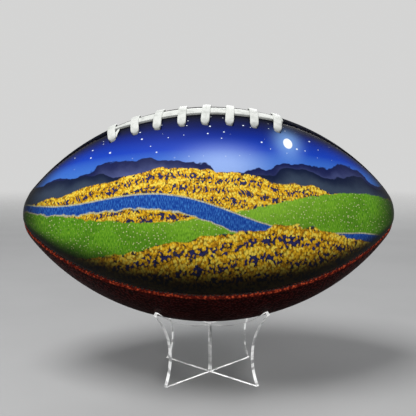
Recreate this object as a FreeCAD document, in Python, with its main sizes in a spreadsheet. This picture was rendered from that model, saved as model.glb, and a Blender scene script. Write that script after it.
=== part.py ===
import FreeCAD, Part
import Sketcher
import math
import os

# An American football lying level on a clear stand of two crossed plates, in millimetres.
# The origin is on the table under the middle of the stand. X runs along the ball, the wide
# printed panel faces -Y and Z is up. The ball's pieces are shaped in the ball's own frame, with
# its middle at the origin and the lace seam on +Z, and are then turned and lifted into place.

SIZES = {
    # Outer form of the ball: one long arc, blended into a round nose at each end.
    "ball_length": 285.0,
    "ball_diameter": 164.0,
    "nose_radius": 30.0,
    "tip_opening": 1.2,
    # Slope of the lace seam above the level, as the ball lies on its stand.
    "lace_elevation": 69.0,
    # Cover, lining and bladder, one inside the other.
    "front_panel_angle": 106.5,
    "panel_thickness": 2.0,
    "lining_thickness": 0.9,
    "bladder_thickness": 0.9,
    "layer_clearance": 0.15,
    "lining_allowance": 1.5,
    # Seams and their stitching.
    "seam_gap": 0.9,
    "thread_clearance": 0.05,
    "thread_tip_margin": 8.5,
    # Lacing.
    "lace_pitch": 16.9,
    "lace_shift": -12.1,
    "lace_width": 6.6,
    "lace_thickness": 1.4,
    "lace_reach": 20.6,
    "lace_clearance": 0.15,
    "lace_hole_clearance": 0.2,
    "band_width": 11.0,
    "band_thickness": 2.2,
    "band_overhang": 4.5,
    "tongue_margin": 6.0,
    # Inflation valve, in the rear panel.
    "valve_station": 40.0,
    "valve_angle": 48.0,
    "valve_radius": 4.0,
    "valve_floor": 1.5,
    "valve_recess": 0.3,
    "valve_flange_radius": 9.0,
    "valve_flange_thickness": 1.2,
    "valve_clearance": 0.15,
    "plug_radius": 2.0,
    "plug_length": 11.5,
    "plug_fit": 0.05,
    "needle_radius": 0.8,
    "needle_depth": 1.5,
    # Stand plates, measured from the middle of the plate and from the table. The horn's sizes
    # are those of its outer corner, and the side's hollow is measured from a straight side.
    "plate_thickness": 3.0,
    "plate_angle": 45.0,
    "foot_reach": 48.6,
    "horn_reach": 58.3,
    "horn_height": 55.6,
    "horn_width": 3.0,
    "side_hollow": 9.6,
    "slot_height": 20.5,
    "slot_clearance": 0.1,
    # How the ball sits: on the horns, with its belly clear of the cradle.
    "seat_clearance": 0.3,
    "belly_clearance": 4.5,
}
LACE_COUNT = 8
SLOT_OVERRUN = 2.0

# Points of a sketch line or arc, and the sketch's own axes, as sketches number them.
START, END, CENTRE = range(1, 4)
UPRIGHT_AXIS, LEVEL_AXIS = range(-2, 0)

X_DIRECTION = FreeCAD.Vector(1, 0, 0)
Y_DIRECTION = FreeCAD.Vector(0, 1, 0)
Z_DIRECTION = FreeCAD.Vector(0, 0, 1)
DIAGONAL_TURN = FreeCAD.Rotation(X_DIRECTION, X_DIRECTION + Y_DIRECTION)

doc = FreeCAD.newDocument("football_on_stand")


def make_sheet():
    """Put every driving size in a cell of the sheet, under its own name."""
    sheet = doc.addObject("Spreadsheet::Sheet", "Sizes")
    for row, (alias, value) in enumerate(SIZES.items(), start=1):
        cell = f"A{row}"
        sheet.set(cell, str(value))
        sheet.setAlias(cell, alias)
    doc.recompute()
    return sheet


sheet = make_sheet()
size = {alias: float(sheet.get(alias)) for alias in SIZES}


def cell(alias):
    """The sheet's cell of that name, as it is written in an expression."""
    return f"Sizes.{alias}"


def value_of(expression):
    """The number that an expression on the sheet gives now."""
    return float(sheet.evalExpression(expression))


# The ball's outer form.

HALF_LENGTH = f"({cell('ball_length')} / 2)"
HALF_WIDTH = f"({cell('ball_diameter')} / 2)"
NOSE_STATION = f"({HALF_LENGTH} - {cell('nose_radius')})"
NOSE_RISE = f"({HALF_WIDTH} - {cell('nose_radius')})"
ARC_DROP = f"(({NOSE_STATION} ^ 2 - {NOSE_RISE} ^ 2) / (2 * {NOSE_RISE}))"
ARC_RADIUS = f"({HALF_WIDTH} + {ARC_DROP})"

LINING_DEPTH = f"({cell('panel_thickness')} + {cell('layer_clearance')})"
BLADDER_DEPTH = f"({LINING_DEPTH} + {cell('lining_thickness')} + {cell('layer_clearance')})"

half_length = value_of(HALF_LENGTH)
half_width = value_of(HALF_WIDTH)
nose_station = value_of(NOSE_STATION)
arc_drop = value_of(ARC_DROP)
arc_radius = value_of(ARC_RADIUS)


def ball_radius(station):
    """Outer radius of the ball at a distance along it from the middle, on its long arc."""
    return math.sqrt(arc_radius ** 2 - station ** 2) - arc_drop


def surface_slope(station):
    """Angle, in degrees, by which the surface leans towards the nose at that station."""
    return math.degrees(math.asin(station / arc_radius))


def about_x(degrees):
    return FreeCAD.Placement(FreeCAD.Vector(), FreeCAD.Rotation(X_DIRECTION, degrees))


def about_z(degrees):
    return FreeCAD.Placement(FreeCAD.Vector(), FreeCAD.Rotation(Z_DIRECTION, degrees))


def surface_frame(station, turn):
    """Frame on the ball's surface: Z outwards, Y round the ball, turn degrees from the lace seam."""
    foot = FreeCAD.Vector(station, 0, ball_radius(station))
    lean = FreeCAD.Rotation(Y_DIRECTION, surface_slope(station))
    return about_x(turn).multiply(FreeCAD.Placement(foot, lean))


def shifted(frame, x, y, z):
    """The frame moved along its own axes."""
    return frame.multiply(FreeCAD.Placement(FreeCAD.Vector(x, y, z), FreeCAD.Rotation()))


# The stand's horns, and how high they hold the ball.

SIDE_CHORD = f"sqrt(({cell('horn_reach')} - {cell('foot_reach')}) ^ 2 + {cell('horn_height')} ^ 2)"
SIDE_RADIUS = f"(({SIDE_CHORD} / 2) ^ 2 + {cell('side_hollow')} ^ 2) / (2 * {cell('side_hollow')})"
side_radius = value_of(SIDE_RADIUS)


def find_side_centre():
    """Centre of the round hollow in the plate's side, which lies outside the plate."""
    across = size["horn_reach"] - size["foot_reach"]
    up = size["horn_height"]
    chord = math.hypot(across, up)
    away = side_radius - size["side_hollow"]
    return (size["foot_reach"] + across / 2 + away * up / chord, up / 2 - away * across / chord)


def find_horn_tip():
    """Inner corner of the horn, squarely across the horn from its outer corner."""
    across = size["horn_reach"] - side_centre[0]
    up = size["horn_height"] - side_centre[1]
    stretch = (side_radius + size["horn_width"]) / side_radius
    return (side_centre[0] + across * stretch, side_centre[1] + up * stretch)


def find_ball_height():
    """Height of the ball's middle when it sits on the nearer edges of the horn tips."""
    turn = math.radians(size["plate_angle"])
    drops = []
    for offset in (-size["plate_thickness"] / 2, size["plate_thickness"] / 2):
        along = horn_tip[0] * math.cos(turn) - offset * math.sin(turn)
        across = horn_tip[0] * math.sin(turn) + offset * math.cos(turn)
        drops.append(math.sqrt(ball_radius(along) ** 2 - across ** 2))
    return horn_tip[1] + size["seat_clearance"] + max(drops)


side_centre = find_side_centre()
horn_tip = find_horn_tip()
ball_height = find_ball_height()
cradle_height = ball_height - half_width - size["belly_clearance"]

lace_lean = FreeCAD.Rotation(X_DIRECTION, 90 - size["lace_elevation"])
BALL_PLACE = FreeCAD.Placement(FreeCAD.Vector(0, 0, ball_height), lace_lean)


# Sketch helpers.

def new_body(name):
    body = doc.addObject("PartDesign::Body", name)
    body.Label = name
    return body


def new_sketch(body, role):
    """Empty sketch on one of the body's own origin planes."""
    plane = next(feature for feature in body.Origin.OriginFeatures if feature.Role == role)
    sketch = body.newObject("Sketcher::SketchObject", f"{body.Name}_sketch")
    sketch.AttachmentSupport = [(plane, "")]
    sketch.MapMode = "FlatFace"
    return sketch


def add_line(sketch, start, end, construction=False):
    segment = Part.LineSegment(FreeCAD.Vector(*start, 0), FreeCAD.Vector(*end, 0))
    return sketch.addGeometry(segment, construction)


def add_arc(sketch, centre, radius, start_degrees, end_degrees):
    circle = Part.Circle(FreeCAD.Vector(*centre, 0), Z_DIRECTION, radius)
    span = (math.radians(start_degrees), math.radians(end_degrees))
    return sketch.addGeometry(Part.ArcOfCircle(circle, *span), False)


def rule(sketch, kind, *places):
    return sketch.addConstraint(Sketcher.Constraint(kind, *places))


def measure(sketch, kind, places, expression):
    """Dimension whose value follows an expression on the sheet."""
    index = rule(sketch, kind, *places, value_of(expression))
    sketch.setExpression(f"Constraints[{index}]", expression)


def pin(sketch, line, point, across, up):
    """Hold a point of a line at two expressions, across and up from the sketch's origin."""
    for kind, axis, expression in (("DistanceX", UPRIGHT_AXIS, across), ("DistanceY", LEVEL_AXIS, up)):
        value = value_of(expression)
        if value == 0:
            rule(sketch, "PointOnObject", line, point, axis)
        elif value > 0:
            measure(sketch, kind, (LEVEL_AXIS, START, line, point), expression)
        else:
            measure(sketch, kind, (line, point, LEVEL_AXIS, START), f"-({expression})")


def add_polygon(sketch, corners):
    """Closed outline of straight lines through corners given as pairs of expressions."""
    points = [(value_of(across), value_of(up)) for across, up in corners]
    lines = []
    for index, point in enumerate(points):
        lines.append(add_line(sketch, point, points[(index + 1) % len(points)]))
    for index, line in enumerate(lines):
        rule(sketch, "Coincident", lines[index - 1], END, line, START)
        pin(sketch, line, START, *corners[index])


# Feature helpers.

def revolve(body, sketch, axis, angle, symmetric=False):
    feature = body.newObject("PartDesign::Revolution", f"{body.Name}_revolution")
    feature.Profile = sketch
    feature.ReferenceAxis = (sketch, [axis])
    feature.Midplane = symmetric
    feature.setExpression("Angle", angle)
    return feature


def pad_both_ways(body, sketch, length):
    feature = body.newObject("PartDesign::Pad", f"{body.Name}_pad")
    feature.Profile = sketch
    feature.SideType = "Symmetric"
    feature.setExpression("Length", length)
    return feature


def cut_box(body, place, length, width, height):
    """Cut a box out of the body, from a corner at place along the place's own axes."""
    box = body.newObject("PartDesign::SubtractiveBox", f"{body.Name}_cut")
    box.setExpression("Length", length)
    box.setExpression("Width", width)
    box.setExpression("Height", height)
    box.Placement = place


def set_drill(drill, place, radius, height):
    """Centre a drill on place, as far below it as above, with its seam off the ball's meridian."""
    drill.setExpression("Radius", radius)
    drill.setExpression("Height", height)
    foot = FreeCAD.Vector(0, 0, -value_of(height) / 2)
    drill.Placement = place.multiply(FreeCAD.Placement(foot, DIAGONAL_TURN))


def cut_cylinder(body, place, radius, height):
    """Cut a cylinder, centred on place, out of the body."""
    drill = body.newObject("PartDesign::SubtractiveCylinder", f"{body.Name}_drill")
    set_drill(drill, place, radius, height)


# Shells of the ball.

def add_form(sketch, depth, tip):
    """Half outline of the ball at a depth below its cover, ending at tip from the ball's axis."""
    level = value_of(depth)
    nose_radius = size["nose_radius"] - level
    bend = math.degrees(math.atan2(nose_station, arc_drop))
    tip_angle = math.degrees(math.asin(tip / nose_radius))
    right_nose = add_arc(sketch, (nose_station, 0), nose_radius, tip_angle, 90 - bend)
    long_arc = add_arc(sketch, (0, -arc_drop), arc_radius - level, 90 - bend, 90 + bend)
    left_nose = add_arc(sketch, (-nose_station, 0), nose_radius, 90 + bend, 180 - tip_angle)
    rule(sketch, "Tangent", right_nose, END, long_arc, START)
    rule(sketch, "Tangent", long_arc, END, left_nose, START)
    rule(sketch, "PointOnObject", long_arc, CENTRE, UPRIGHT_AXIS)
    rule(sketch, "PointOnObject", right_nose, CENTRE, LEVEL_AXIS)
    rule(sketch, "PointOnObject", left_nose, CENTRE, LEVEL_AXIS)
    rule(sketch, "Equal", right_nose, left_nose)
    measure(sketch, "DistanceX", (LEVEL_AXIS, START, right_nose, CENTRE), NOSE_STATION)
    measure(sketch, "Radius", (right_nose,), f"{cell('nose_radius')} - {depth}")
    measure(sketch, "Radius", (long_arc,), f"{ARC_RADIUS} - {depth}")
    tip_station = nose_station + math.sqrt(nose_radius ** 2 - tip ** 2)
    return right_nose, left_nose, tip_station


def shell_profile(body, depth, thickness):
    """Half section of a shell of the ball, open at the tips, where the panels' points meet."""
    sketch = new_sketch(body, "XZ_Plane")
    tip = size["tip_opening"]
    outer_right, outer_left, outer_tip = add_form(sketch, depth, tip)
    inner_right, inner_left, inner_tip = add_form(sketch, f"({depth} + {thickness})", tip)
    right_tip = add_line(sketch, (inner_tip, tip), (outer_tip, tip))
    left_tip = add_line(sketch, (-inner_tip, tip), (-outer_tip, tip))
    rule(sketch, "Coincident", right_tip, START, inner_right, START)
    rule(sketch, "Coincident", right_tip, END, outer_right, START)
    rule(sketch, "Coincident", left_tip, START, inner_left, END)
    rule(sketch, "Coincident", left_tip, END, outer_left, END)
    for line in (right_tip, left_tip):
        rule(sketch, "Horizontal", line)
        measure(sketch, "DistanceY", (LEVEL_AXIS, START, line, END), cell("tip_opening"))
    return sketch


def solid_profile(body, depth):
    """Half section of the whole ball at a depth below its cover, closed along its axis."""
    sketch = new_sketch(body, "XZ_Plane")
    right, left, tip_station = add_form(sketch, depth, 0)
    axis = add_line(sketch, (-tip_station, 0), (tip_station, 0))
    rule(sketch, "Coincident", axis, START, left, END)
    rule(sketch, "Coincident", axis, END, right, START)
    rule(sketch, "PointOnObject", axis, START, LEVEL_AXIS)
    rule(sketch, "PointOnObject", axis, END, LEVEL_AXIS)
    return sketch


def make_lune(name, depth, thickness, start, span, start_trim, end_trim):
    """Quarter of a shell between two seams, with a strip trimmed off along each seam."""
    body = new_body(name)
    profile = shell_profile(body, depth, thickness)
    revolve(body, profile, "H_Axis", span)
    first_corner = FreeCAD.Vector(-half_length, -value_of(start_trim), -half_width)
    first_seam = FreeCAD.Placement(first_corner, FreeCAD.Rotation())
    last_seam = shifted(about_x(value_of(span)), -half_length, 0, -half_width)
    cut_box(body, first_seam, cell("ball_length"), start_trim, cell("ball_diameter"))
    cut_box(body, last_seam, cell("ball_length"), end_trim, cell("ball_diameter"))
    body.Placement = BALL_PLACE.multiply(about_x(value_of(start)))
    return body


FRONT_SPAN = cell("front_panel_angle")
OTHER_SPAN = f"((360 - {FRONT_SPAN}) / 3)"
LUNES = {
    "front": ("0", FRONT_SPAN),
    "lower_front": (FRONT_SPAN, OTHER_SPAN),
    "lower_rear": (f"({FRONT_SPAN} + {OTHER_SPAN})", OTHER_SPAN),
    "rear": (f"({FRONT_SPAN} + 2 * {OTHER_SPAN})", OTHER_SPAN),
}
HALF_SEAM = f"({cell('seam_gap')} / 2)"
TONGUE_REACH = f"({cell('lace_reach')} + {cell('tongue_margin')})"


def make_panels():
    """The four cover panels, with the lace holes and the valve hole."""
    panels = {}
    for side, (start, span) in LUNES.items():
        name = f"{side}_panel"
        thickness = cell("panel_thickness")
        panels[side] = make_lune(name, "0", thickness, start, span, HALF_SEAM, HALF_SEAM)
    rear_start = value_of(LUNES["rear"][0])
    for station in lace_stations():
        cut_lace_hole(panels["front"], surface_frame(station, 0), station, -1)
        cut_lace_hole(panels["rear"], surface_frame(station, 0), station, 1, rear_start)
    cut_cylinder(panels["rear"], valve_frame(rear_start), VALVE_HOLE, VALVE_HOLE_LENGTH)


def make_linings():
    """The cloth behind each panel. It stops beside the tongue under the lacing."""
    beside_tongue = f"({TONGUE_REACH} + {cell('layer_clearance')})"
    at_seam = cell("lining_allowance")
    trims = {"front": (beside_tongue, at_seam), "rear": (at_seam, beside_tongue)}
    linings = {}
    for side, (start, span) in LUNES.items():
        start_trim, end_trim = trims.get(side, (at_seam, at_seam))
        name = f"{side}_lining"
        thickness = cell("lining_thickness")
        linings[side] = make_lune(name, LINING_DEPTH, thickness, start, span, start_trim, end_trim)
    rear_start = value_of(LUNES["rear"][0])
    cut_cylinder(linings["rear"], valve_frame(rear_start), VALVE_HOLE, VALVE_HOLE_LENGTH)


def make_bladder():
    """Closed rubber bladder with the hole that its valve sits in."""
    body = new_body("bladder_form")
    revolve(body, solid_profile(body, BLADDER_DEPTH), "H_Axis", "360")
    inside = solid_profile(body, f"({BLADDER_DEPTH} + {cell('bladder_thickness')})")
    hollow = body.newObject("PartDesign::Groove", "bladder_hollow")
    hollow.Profile = inside
    hollow.ReferenceAxis = (inside, ["H_Axis"])
    hollow.Angle = 360
    hole = doc.addObject("Part::Cylinder", "bladder_hole")
    set_drill(hole, valve_frame(0), VALVE_HOLE, VALVE_HOLE_LENGTH)
    bladder = doc.addObject("Part::Cut", "bladder")
    bladder.Label = "bladder"
    bladder.Base = body
    bladder.Tool = hole
    bladder.Placement = BALL_PLACE


# Inflation valve.

VALVE_HOLE = f"({cell('valve_radius')} + {cell('valve_clearance')})"
VALVE_HOLE_LENGTH = f"(3 * ({BLADDER_DEPTH} + {cell('bladder_thickness')}))"


def valve_frame(body_turn):
    """Frame on the surface at the valve, for a body that is itself turned about the ball."""
    return surface_frame(size["valve_station"], -size["valve_angle"] - body_turn)


def make_valve():
    """Rubber sleeve with a flange under the bladder, and the plug that seals it."""
    bladder_face = value_of(BLADDER_DEPTH) + size["bladder_thickness"]
    inside_radius = ball_radius(size["valve_station"]) - bladder_face
    flange_sag = inside_radius - math.sqrt(inside_radius ** 2 - size["valve_flange_radius"] ** 2)
    top = f"-{cell('valve_recess')}"
    flange_top = f"(-{bladder_face + flange_sag} - {cell('valve_clearance')})"
    flange_bottom = f"({flange_top} - {cell('valve_flange_thickness')})"
    plug_top = f"({top} - {cell('valve_recess')})"
    plug_bottom = f"({plug_top} - {cell('plug_length')})"
    bore = f"({cell('plug_radius')} + {cell('plug_fit')})"
    bore_bottom = f"({plug_bottom} - {cell('plug_fit')})"
    bottom = f"({bore_bottom} - {cell('valve_floor')})"
    stem = cell("valve_radius")
    flange = cell("valve_flange_radius")

    housing = new_body("valve_housing")
    sleeve = new_sketch(housing, "XZ_Plane")
    add_polygon(sleeve, [
        (bore, top), (stem, top), (stem, flange_top), (flange, flange_top),
        (flange, flange_bottom), (stem, flange_bottom), (stem, bottom), ("0", bottom),
        ("0", bore_bottom), (bore, bore_bottom),
    ])
    revolve(housing, sleeve, "V_Axis", "360")

    plug = new_body("valve_plug")
    section = new_sketch(plug, "XZ_Plane")
    add_polygon(section, [
        ("0", plug_bottom), (cell("plug_radius"), plug_bottom), (cell("plug_radius"), plug_top),
        (cell("needle_radius"), plug_top), ("0", f"({plug_top} - {cell('needle_depth')})"),
    ])
    revolve(plug, section, "V_Axis", "360")

    for body in (housing, plug):
        body.Placement = BALL_PLACE.multiply(valve_frame(0))


# Lacing.

def lace_stations():
    """Places of the cross-laces along the ball."""
    middle = (LACE_COUNT - 1) / 2
    return [size["lace_shift"] + (index - middle) * size["lace_pitch"] for index in range(LACE_COUNT)]


def round_radius(station):
    """Radius of the cover across the lace seam at that station."""
    return ball_radius(station) / math.cos(math.radians(surface_slope(station)))


def fall(radius, reach, depth=0.0):
    """How far a round face, depth below the cover, lies under the seam at that reach from it."""
    return radius - math.sqrt((radius - depth) ** 2 - reach ** 2)


BAND_TOP = f"({cell('lace_clearance')} + {cell('band_thickness')})"


def reach_at(station):
    """Reach of the cross-lace from the seam at that station, less where the ball is slimmer."""
    return f"({cell('lace_reach')} * {ball_radius(station) / half_width})"


def inner_reach_at(station):
    return f"({reach_at(station)} - {cell('lace_thickness')})"


def arch_of(station):
    """Centre height and inner radius of the cross-lace's arch over the band at that station."""
    crown = value_of(BAND_TOP) + size["lace_clearance"]
    inner_reach = value_of(inner_reach_at(station))
    spring = size["lace_clearance"] - fall(round_radius(station), inner_reach)
    rise = crown - spring
    radius = (inner_reach ** 2 + rise ** 2) / (2 * rise)
    return crown - radius, radius


def cut_lace_hole(panel, frame, station, side, body_turn=0.0):
    """Slot for one leg of a cross-lace, on the front (-1) or rear (1) side of the seam."""
    clearance = size["lace_hole_clearance"]
    near = value_of(inner_reach_at(station)) - clearance
    far = value_of(reach_at(station)) + clearance
    below = fall(round_radius(station), far) + 2 * size["panel_thickness"]
    corner_x = -size["lace_width"] / 2 - clearance
    corner_y = near if side > 0 else -far
    place = about_x(-body_turn).multiply(shifted(frame, corner_x, corner_y, -below))
    length = f"{cell('lace_width')} + 2 * {cell('lace_hole_clearance')}"
    width = f"{cell('lace_thickness')} + 2 * {cell('lace_hole_clearance')}"
    cut_box(panel, place, length, width, f"{below} + {cell('panel_thickness')}")


def make_cross_lace(name, station):
    """One cross run of the lace: an arch over the band with a leg down into each panel."""
    body = new_body(name)
    sketch = new_sketch(body, "YZ_Plane")
    centre_height, inner_radius = arch_of(station)
    outer_radius = inner_radius + size["lace_thickness"]
    reach = value_of(reach_at(station))
    inner_reach = value_of(inner_reach_at(station))
    leg_end = -fall(round_radius(station), inner_reach, size["panel_thickness"])
    centre = (0, centre_height)
    outer_angle = math.degrees(math.acos(reach / outer_radius))
    inner_angle = math.degrees(math.acos(inner_reach / inner_radius))
    outer_arc = add_arc(sketch, centre, outer_radius, outer_angle, 180 - outer_angle)
    inner_arc = add_arc(sketch, centre, inner_radius, inner_angle, 180 - inner_angle)
    outer_spring = centre_height + math.sqrt(outer_radius ** 2 - reach ** 2)
    inner_spring = centre_height + math.sqrt(inner_radius ** 2 - inner_reach ** 2)
    for side, end in ((1, START), (-1, END)):
        outer_leg = add_line(sketch, (side * reach, outer_spring), (side * reach, leg_end))
        foot = add_line(sketch, (side * reach, leg_end), (side * inner_reach, leg_end))
        inner_leg = add_line(sketch, (side * inner_reach, leg_end), (side * inner_reach, inner_spring))
        rule(sketch, "Coincident", outer_arc, end, outer_leg, START)
        rule(sketch, "Coincident", outer_leg, END, foot, START)
        rule(sketch, "Coincident", foot, END, inner_leg, START)
        rule(sketch, "Coincident", inner_leg, END, inner_arc, end)
        rule(sketch, "Vertical", outer_leg)
        rule(sketch, "Vertical", inner_leg)
        leg_corner = reach_at(station) if side > 0 else f"-{reach_at(station)}"
        pin(sketch, foot, START, leg_corner, str(leg_end))
        rule(sketch, "Horizontal", foot)
        measure(sketch, "Distance", (foot,), cell("lace_thickness"))
    rule(sketch, "Coincident", outer_arc, CENTRE, inner_arc, CENTRE)
    rule(sketch, "PointOnObject", inner_arc, CENTRE, UPRIGHT_AXIS)
    rule(sketch, "DistanceY", inner_arc, CENTRE, LEVEL_AXIS, START, -centre_height)
    rule(sketch, "Radius", inner_arc, inner_radius)
    measure(sketch, "Radius", (outer_arc,), f"{inner_radius} + {cell('lace_thickness')}")
    pad_both_ways(body, sketch, cell("lace_width"))
    body.Placement = BALL_PLACE.multiply(surface_frame(station, 0))


def make_lace_band():
    """Lengthwise run of the lace along the seam, crowned to lie under every cross-lace."""
    stations = lace_stations()
    body = new_body("lace_band")
    sketch = new_sketch(body, "YZ_Plane")
    tightest = min(arch_of(station)[1] for station in stations)
    crown_radius = tightest - size["lace_clearance"]
    bottom = half_width + size["lace_clearance"]
    top = half_width + value_of(BAND_TOP)
    half_band = size["band_width"] / 2
    edge = top - fall(crown_radius, half_band)
    crown_angle = math.degrees(math.acos(half_band / crown_radius))
    base = add_line(sketch, (-half_band, bottom), (half_band, bottom))
    right = add_line(sketch, (half_band, bottom), (half_band, edge))
    crown = add_arc(sketch, (0, top - crown_radius), crown_radius, crown_angle, 180 - crown_angle)
    left = add_line(sketch, (-half_band, edge), (-half_band, bottom))
    rule(sketch, "Coincident", base, END, right, START)
    rule(sketch, "Coincident", right, END, crown, START)
    rule(sketch, "Coincident", crown, END, left, START)
    rule(sketch, "Coincident", left, END, base, START)
    rule(sketch, "Vertical", right)
    rule(sketch, "Vertical", left)
    level = f"({HALF_WIDTH} + {cell('lace_clearance')})"
    pin(sketch, base, START, f"-{cell('band_width')} / 2", level)
    rule(sketch, "Horizontal", base)
    measure(sketch, "Distance", (base,), cell("band_width"))
    rule(sketch, "PointOnObject", crown, CENTRE, UPRIGHT_AXIS)
    rule(sketch, "Radius", crown, crown_radius)
    crown_level = f"{HALF_WIDTH} + {BAND_TOP} - {crown_radius}"
    measure(sketch, "DistanceY", (LEVEL_AXIS, START, crown, CENTRE), crown_level)
    axis = add_line(sketch, (0, -arc_drop), (half_band, -arc_drop), construction=True)
    pin(sketch, axis, START, "0", f"-{ARC_DROP}")
    rule(sketch, "Horizontal", axis)
    measure(sketch, "Distance", (axis,), f"{cell('band_width')} / 2")
    first = surface_slope(stations[0] - size["lace_width"] / 2 - size["band_overhang"])
    last = surface_slope(stations[-1] + size["lace_width"] / 2 + size["band_overhang"])
    revolve(body, sketch, "Axis0", str(last - first), symmetric=True)
    lean = FreeCAD.Rotation(Y_DIRECTION, (first + last) / 2)
    arc_centre = FreeCAD.Vector(0, 0, -arc_drop)
    body.Placement = BALL_PLACE.multiply(FreeCAD.Placement(FreeCAD.Vector(), lean, arc_centre))


def make_tongue():
    """Pad behind the lacing, in the layer of the lining."""
    stations = lace_stations()
    body = new_body("lace_tongue")
    sketch = new_sketch(body, "XZ_Plane")
    ends = (stations[0] - size["tongue_margin"], stations[-1] + size["tongue_margin"])
    outer = arc_radius - value_of(LINING_DEPTH)
    inner = outer - size["lining_thickness"]
    arcs = []
    for radius in (outer, inner):
        first, last = [math.degrees(math.acos(end / radius)) for end in ends]
        arcs.append(add_arc(sketch, (0, -arc_drop), radius, last, first))
    for end, point in ((ends[0], END), (ends[1], START)):
        heights = [math.sqrt(radius ** 2 - end ** 2) - arc_drop for radius in (outer, inner)]
        line = add_line(sketch, (end, heights[0]), (end, heights[1]))
        rule(sketch, "Coincident", arcs[0], point, line, START)
        rule(sketch, "Coincident", line, END, arcs[1], point)
        rule(sketch, "Vertical", line)
        rule(sketch, "DistanceX", LEVEL_AXIS, START, line, START, end)
    rule(sketch, "Coincident", arcs[0], CENTRE, arcs[1], CENTRE)
    pin_arc_centre(sketch, arcs[0])
    measure(sketch, "Radius", (arcs[0],), f"{ARC_RADIUS} - {LINING_DEPTH}")
    measure(sketch, "Radius", (arcs[1],), f"{ARC_RADIUS} - {LINING_DEPTH} - {cell('lining_thickness')}")
    half_angle = math.degrees(math.asin(value_of(TONGUE_REACH) / half_width))
    revolve(body, sketch, "H_Axis", str(2 * half_angle), symmetric=True)
    body.Placement = BALL_PLACE


def pin_arc_centre(sketch, arc):
    """Hold an arc's centre at the centre of the ball's long arc."""
    rule(sketch, "PointOnObject", arc, CENTRE, UPRIGHT_AXIS)
    measure(sketch, "DistanceY", (arc, CENTRE, LEVEL_AXIS, START), ARC_DROP)


def make_lacing():
    for index, station in enumerate(lace_stations(), start=1):
        make_cross_lace(f"cross_lace_{index}", station)
    make_lace_band()
    make_tongue()


# Stitching.

def make_thread(name, turn, first_station, last_station):
    """Thread sunk in a seam, along the ball's long arc from one station to another."""
    thread = doc.addObject("Part::Torus", name)
    thread.Label = name
    first = surface_slope(first_station)
    last = surface_slope(last_station)
    thread.setExpression("Radius1", f"{ARC_RADIUS} - {HALF_SEAM}")
    thread.setExpression("Radius2", f"{HALF_SEAM} - {cell('thread_clearance')}")
    thread.Angle3 = last - first
    lean = math.radians(last)
    outward = FreeCAD.Vector(math.sin(lean), 0, math.cos(lean))
    back = FreeCAD.Vector(-math.cos(lean), 0, math.sin(lean))
    pose = FreeCAD.Rotation(outward, back, -Y_DIRECTION, "ZXY")
    in_ball = FreeCAD.Placement(FreeCAD.Vector(0, 0, -arc_drop), pose)
    thread.Placement = BALL_PLACE.multiply(about_x(turn)).multiply(in_ball)


def make_threads():
    end = half_length - size["thread_tip_margin"]
    stations = lace_stations()
    beside_lacing = size["lace_width"] / 2 + size["band_overhang"] + size["tongue_margin"]
    make_thread("seam_thread_front", value_of(LUNES["lower_front"][0]), -end, end)
    make_thread("seam_thread_bottom", value_of(LUNES["lower_rear"][0]), -end, end)
    make_thread("seam_thread_rear", value_of(LUNES["rear"][0]), -end, end)
    make_thread("seam_thread_top_left", 0, -end, stations[0] - beside_lacing)
    make_thread("seam_thread_top_right", 0, stations[-1] + beside_lacing, end)


# Stand.

def polar_degrees(centre, point):
    """Direction of a point from a centre, in degrees from 0 to 360."""
    return math.degrees(math.atan2(point[1] - centre[1], point[0] - centre[0])) % 360


def plate_outline(body):
    """Outline of a plate: straight foot, hollow sides, blunt horns and a round cradle."""
    sketch = new_sketch(body, "XZ_Plane")
    foot = (size["foot_reach"], 0)
    corner = (size["horn_reach"], size["horn_height"])
    cradle_depth = horn_tip[1] - cradle_height
    cradle_radius = (horn_tip[0] ** 2 + cradle_depth ** 2) / (2 * cradle_depth)
    cradle_angle = math.degrees(math.asin(horn_tip[0] / cradle_radius))
    foot_angle = polar_degrees(side_centre, foot)
    horn_angle = polar_degrees(side_centre, corner)
    base = add_line(sketch, (-foot[0], 0), foot)
    right_side = add_arc(sketch, side_centre, side_radius, horn_angle, foot_angle)
    right_cap = add_line(sketch, corner, horn_tip)
    cradle_centre = (0, cradle_height + cradle_radius)
    cradle = add_arc(sketch, cradle_centre, cradle_radius, 270 - cradle_angle, 270 + cradle_angle)
    left_cap = add_line(sketch, (-horn_tip[0], horn_tip[1]), (-corner[0], corner[1]))
    left_centre = (-side_centre[0], side_centre[1])
    left_side = add_arc(sketch, left_centre, side_radius, 180 - foot_angle, 180 - horn_angle)
    rule(sketch, "Coincident", base, END, right_side, END)
    rule(sketch, "Coincident", right_side, START, right_cap, START)
    rule(sketch, "Coincident", right_cap, END, cradle, END)
    rule(sketch, "Coincident", cradle, START, left_cap, START)
    rule(sketch, "Coincident", left_cap, END, left_side, END)
    rule(sketch, "Coincident", left_side, START, base, START)
    pin(sketch, base, END, cell("foot_reach"), "0")
    rule(sketch, "Symmetric", base, START, base, END, UPRIGHT_AXIS)
    pin(sketch, right_cap, START, cell("horn_reach"), cell("horn_height"))
    measure(sketch, "Radius", (right_side,), SIDE_RADIUS)
    measure(sketch, "Distance", (right_cap,), cell("horn_width"))
    rule(sketch, "PointOnObject", right_side, CENTRE, right_cap)
    rule(sketch, "PointOnObject", cradle, CENTRE, UPRIGHT_AXIS)
    rule(sketch, "Horizontal", cradle, START, cradle, END)
    rule(sketch, "Radius", cradle, cradle_radius)
    rule(sketch, "Symmetric", right_cap, START, left_cap, END, UPRIGHT_AXIS)
    rule(sketch, "Equal", right_side, left_side)
    return sketch


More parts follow.
